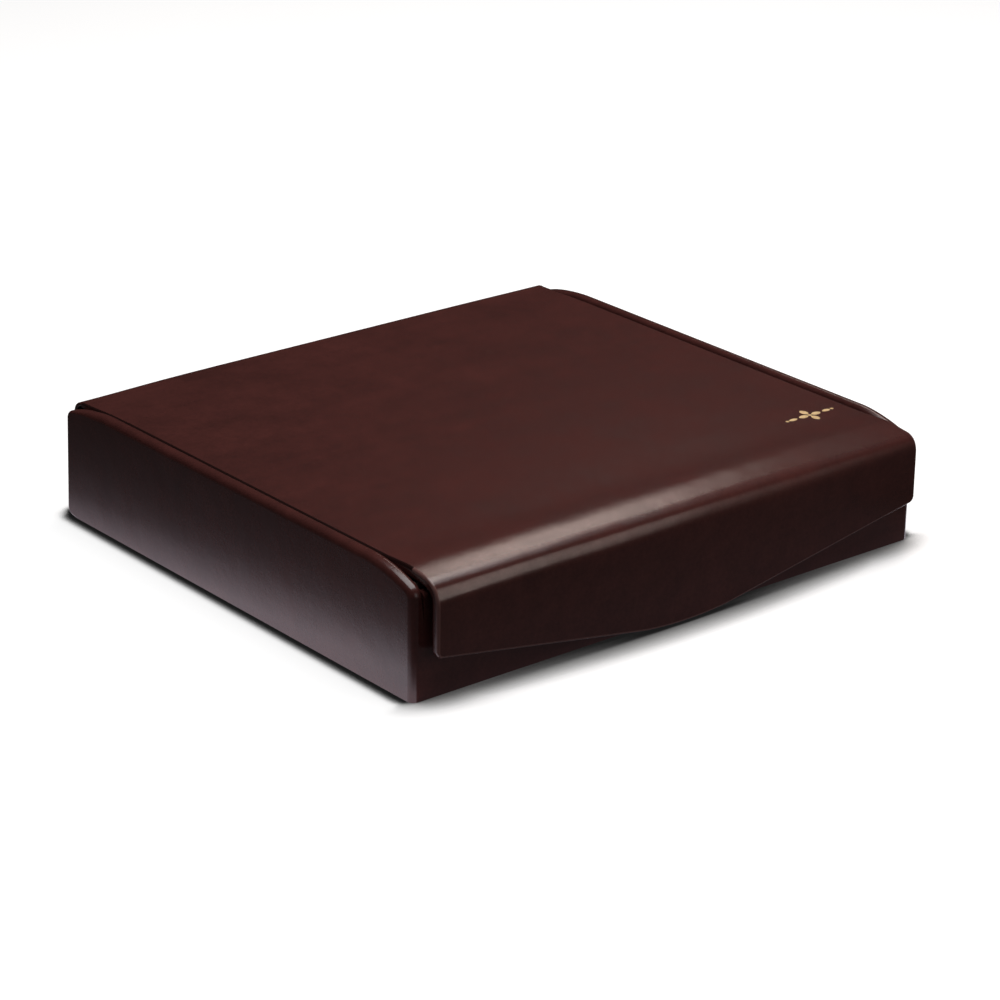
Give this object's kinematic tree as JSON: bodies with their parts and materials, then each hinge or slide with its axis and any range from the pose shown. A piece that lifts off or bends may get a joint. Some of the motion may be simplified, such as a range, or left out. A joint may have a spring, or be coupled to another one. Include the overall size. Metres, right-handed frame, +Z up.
{
  "type": "accessory box",
  "caption": "Low leather-covered box with a hinged lid that wraps over the front as a wide pointed flap; its suede-lined cells hold watches, rings and small jewellery.",
  "frame": {"origin": "middle of the tray's underside, on the surface the box stands on, without the flap and the spine", "axes": "+X to the right along the hinge, seen from the front; +Y to the back; +Z up; the flap is on the -Y side"},
  "size_m": [0.24, 0.225, 0.0474],
  "materials": {
    "smooth_leather": "smooth, waxed, semi-gloss",
    "suede": "short-napped suede cloth, matt",
    "base_suede": "short-napped suede cloth, matt",
    "grey_board": "raw dense board, hidden",
    "soft_felt": "thin soft felt, hidden",
    "plated_magnet": "nickel plated, satin"
  },
  "bodies": {
    "tray": {"back_wall_board": "grey_board", "back_wall_leather": "smooth_leather", "back_wall_lining": "suede", "base_board": "grey_board", "base_cover": "base_suede", "floor_lining": "suede", "front_wall_board": "grey_board", "front_wall_leather": "smooth_leather", "front_wall_lining": "suede", "left_cheek_board": "grey_board", "left_cheek_leather": "smooth_leather", "left_wall_lining": "suede", "right_cheek_board": "grey_board", "right_cheek_leather": "smooth_leather", "right_wall_lining": "suede", "ring_cross_divider": "suede", "ring_long_divider": "suede", "ring_roll_1": "suede", "ring_roll_2": "suede", "ring_roll_3": "suede", "ring_roll_4": "suede", "ring_roll_5": "suede", "ring_roll_6": "suede", "ring_roll_card": "suede", "small_cross_divider": "suede", "spine_leather": "smooth_leather", "wall_magnet_left": "plated_magnet", "wall_magnet_right": "plated_magnet", "watch_cross_divider": "suede", "watch_cushion_back": "suede", "watch_cushion_front": "suede", "watch_long_divider": "suede"},
    "lid": {"lid_leather": "smooth_leather", "lid_board": "grey_board", "lid_lining": "suede", "hinge_leather": "smooth_leather", "bend_leather": "smooth_leather", "bend_padding": "soft_felt", "bend_lining": "suede"},
    "flap": {"flap_leather": "smooth_leather", "flap_board": "grey_board", "flap_lining": "suede", "flap_magnet_left": "plated_magnet", "flap_magnet_right": "plated_magnet"}
  },
  "joints": [
    {"name": "lid_hinge", "type": "hinge", "parent": "tray", "child": "lid", "pos_m": [0, 0.1077, 0.0444], "axis": [-1, 0, 0], "range_deg": [0, 180], "deforming": ["hinge_leather"]},
    {"name": "flap_fold", "type": "hinge", "parent": "lid", "child": "flap", "pos_m": [0, -0.1122, 0.0433], "axis": [-1, 0, 0], "range_deg": [0, 90], "deforming": ["bend_leather", "bend_padding", "bend_lining"]}
  ]
}
